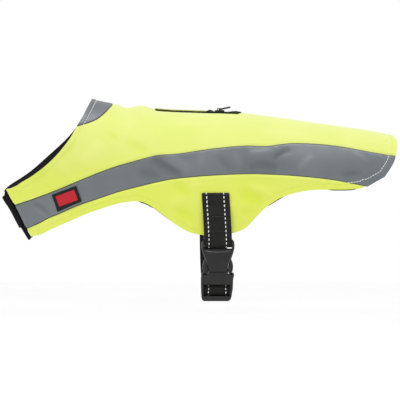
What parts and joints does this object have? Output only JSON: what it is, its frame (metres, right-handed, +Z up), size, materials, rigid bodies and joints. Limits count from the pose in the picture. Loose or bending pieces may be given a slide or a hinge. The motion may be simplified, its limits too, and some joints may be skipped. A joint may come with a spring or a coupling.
{
  "type": "dog safety vest",
  "caption": "Hollow zipped back saddle of hi-vis cloth with reflective side bands, a chest closure and a buckled belly belt, in its worn shape.",
  "frame": {"origin": "middle of the back line, in the cloth by which the wearer's back carries the vest", "axes": "+X towards the tail, -X towards the neck, -Y the wearer's left side, +Z up"},
  "size_m": [0.4568, 0.1488, 0.2325],
  "materials": {
    "hi_vis_cloth": "fluorescent yellow woven polyester",
    "reflective_cloth": "grey glass-bead reflective cloth",
    "mesh_lining": "black knitted mesh",
    "closure_tape": "black hook and loop tape",
    "label": "black woven patch with a plain red field",
    "zip_tape": "black zip tape",
    "webbing": "black polyester webbing with pale dashes",
    "black_plastic": "moulded black zip parts",
    "buckle_plastic": "moulded black acetal, satin"
  },
  "bodies": {
    "vest": {"back_panel_left": "hi_vis_cloth", "back_panel_right": "hi_vis_cloth", "stripe_left": "reflective_cloth", "stripe_right": "reflective_cloth", "flank_panel_left": "hi_vis_cloth", "flank_panel_right": "hi_vis_cloth", "lining_left": "mesh_lining", "lining_right": "mesh_lining", "nape_patch": "reflective_cloth", "nape_lining": "mesh_lining", "closure_loop": "closure_tape", "closure_hook": "closure_tape", "patch_label": "label", "zip_tape_left": "zip_tape", "zip_tape_right": "zip_tape", "zip_chain": "black_plastic", "zip_slider": "black_plastic", "belt_near": "webbing", "belt_far": "webbing", "buckle_plug": "buckle_plastic", "buckle_socket": "buckle_plastic"},
    "pull_tab": {"zip_pull": "black_plastic"}
  },
  "joints": [
    {"name": "pull_hinge", "type": "hinge", "parent": "vest", "child": "pull_tab", "pos_m": [0.023, 0, 0.00288], "axis": [0, -1, 0], "range_deg": [-9, 158]}
  ]
}
